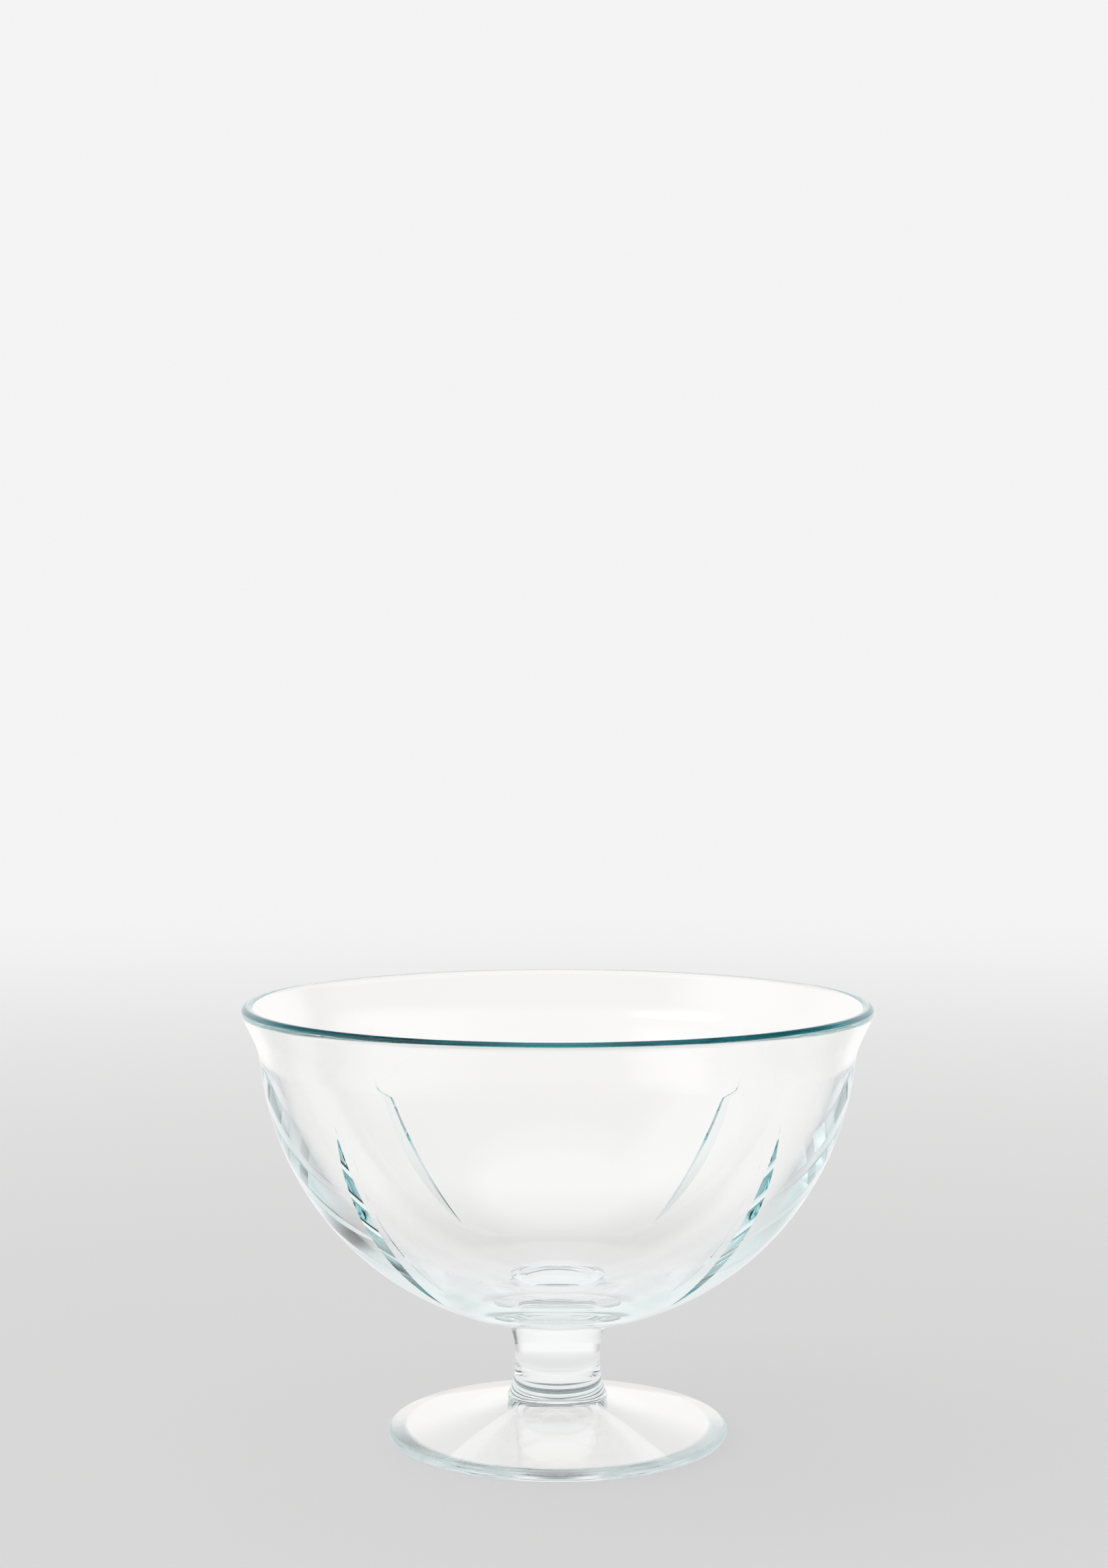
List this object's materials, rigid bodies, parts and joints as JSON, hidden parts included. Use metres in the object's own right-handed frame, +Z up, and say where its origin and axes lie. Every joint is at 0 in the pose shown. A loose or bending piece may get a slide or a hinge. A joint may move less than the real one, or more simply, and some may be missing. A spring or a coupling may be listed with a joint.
{
  "type": "footed trifle bowl",
  "caption": "Clear glass trifle bowl: a deep round bowl with a flared lip and leaf-shaped mitre cuts, on a short waisted stem and a low disc foot.",
  "frame": {"origin": "centre of the foot's resting plane, on the bowl's upright axis", "axes": "+Z up along the bowl's axis; the mitre cuts lie on the diagonals between X and Y"},
  "size_m": [0.2201, 0.2202, 0.1517],
  "materials": {
    "glass": "polished"
  },
  "bodies": {
    "root": {"bowl": "glass", "stem": "glass", "foot": "glass"}
  },
  "joints": []
}
